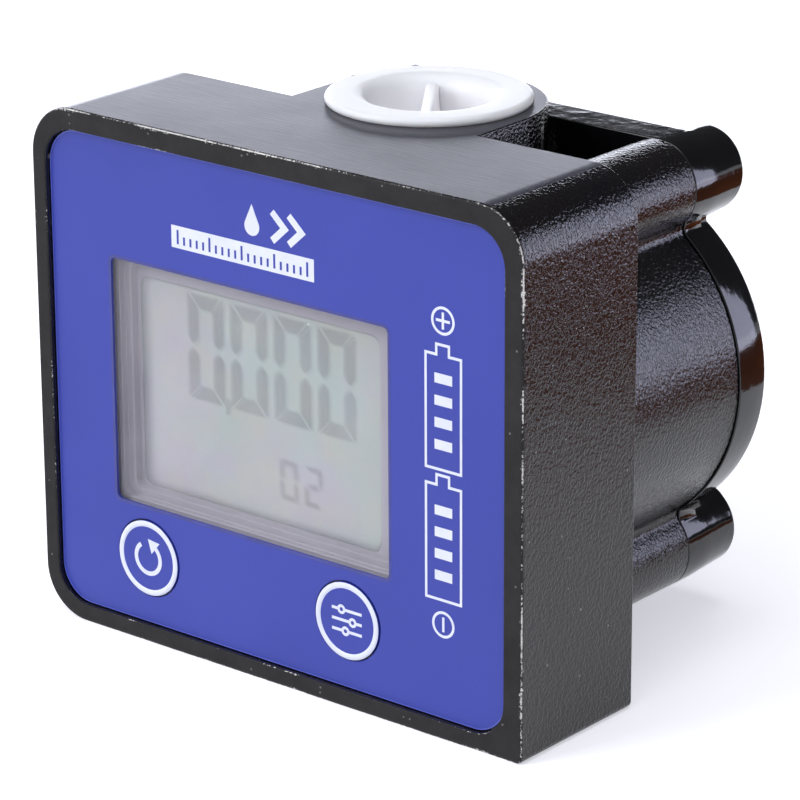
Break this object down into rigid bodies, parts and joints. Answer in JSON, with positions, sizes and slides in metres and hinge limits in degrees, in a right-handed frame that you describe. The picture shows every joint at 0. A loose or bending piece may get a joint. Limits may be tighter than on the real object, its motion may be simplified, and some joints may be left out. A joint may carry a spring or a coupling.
{
  "type": "digital oval gear flow meter",
  "caption": "Inline digital flow meter with twin oval gears, a bolted rear cover, a battery display with two keys, and female ports at top and bottom.",
  "frame": {"origin": "centre of the inlet port's mouth, on the underside", "axes": "+Z along the port axis, from the inlet to the outlet; the display faces -Y; +X to the right of someone who reads the display"},
  "size_m": [0.082, 0.0606, 0.0732],
  "materials": {
    "black_powder_coat": "textured",
    "black_gloss": "gloss",
    "zinc_steel": "satin",
    "black_rubber": "matte",
    "gear_plastic": "matte",
    "magnet": "polished",
    "blue_label": "satin",
    "clear_pane": "clear",
    "grey_plastic": "satin",
    "display_glass": "gloss",
    "contact_rubber": "matte",
    "board_green": "gloss",
    "chip_black": "matte",
    "ceramic_tan": "satin",
    "reed_glass": "clear",
    "plunger_white": "matte",
    "cell_sleeve": "gloss",
    "brass": "satin",
    "cap_black": "satin",
    "cap_white": "satin"
  },
  "bodies": {
    "meter": {"meter_body": "black_powder_coat", "rear_cover": "black_gloss", "cover_screws": "zinc_steel", "chamber_seal": "black_rubber", "gear_shafts": "zinc_steel", "face_label": "blue_label", "window_pane": "clear_pane", "display_panel": "grey_plastic", "panel_gasket": "black_rubber", "panel_screws": "zinc_steel", "lcd_cell": "display_glass", "contact_strips": "contact_rubber", "circuit_board": "board_green", "board_screws": "zinc_steel", "controller_chip": "chip_black", "quartz_crystal": "zinc_steel", "board_capacitors": "ceramic_tan", "reed_switches": "reed_glass", "key_switches": "chip_black", "battery_contact": "brass", "contact_insulator": "plunger_white"},
    "left_gear": {"left_oval_gear": "gear_plastic", "gear_magnets": "magnet"},
    "right_gear": {"right_oval_gear": "gear_plastic"},
    "reset_key": {"reset_key": "blue_label", "reset_plunger": "plunger_white"},
    "cal_key": {"cal_key": "blue_label", "cal_plunger": "plunger_white"},
    "cells": {"upper_cell": "cell_sleeve", "lower_cell": "cell_sleeve"},
    "battery_cap": {"battery_cap": "cap_black", "battery_cap_seal": "black_rubber", "battery_spring": "zinc_steel"},
    "port_cap": {"port_cap": "cap_white"}
  },
  "joints": [
    {"name": "left_gear_spin", "type": "hinge", "parent": "meter", "child": "left_gear", "pos_m": [-0.0144, 0, 0.0361], "axis": [0, 1, 0], "continuous": true},
    {"name": "right_gear_spin", "type": "hinge", "parent": "meter", "child": "right_gear", "pos_m": [0.0144, 0, 0.0361], "axis": [0, 1, 0], "continuous": true},
    {"name": "reset_press", "type": "slide", "parent": "meter", "child": "reset_key", "axis": [0, 1, 0], "range_m": [0, 0.0004], "stiffness_N_per_m": 2000},
    {"name": "cal_press", "type": "slide", "parent": "meter", "child": "cal_key", "axis": [0, 1, 0], "range_m": [0, 0.0004], "stiffness_N_per_m": 2000},
    {"name": "battery_cap_out", "type": "slide", "parent": "meter", "child": "battery_cap", "axis": [0, 0, -1], "range_m": [0, 0.012]},
    {"name": "cells_out", "type": "slide", "parent": "meter", "child": "cells", "axis": [0, 0, -1], "range_m": [0, 0.012]},
    {"name": "port_cap_off", "type": "slide", "parent": "meter", "child": "port_cap", "axis": [0, 0, 1], "range_m": [0, 0.014]}
  ],
  "couplings": [
    {"joint": "right_gear_spin", "follows": "left_gear_spin", "ratio": -1},
    {"joint": "cells_out", "follows": "battery_cap_out", "ratio": 1}
  ]
}
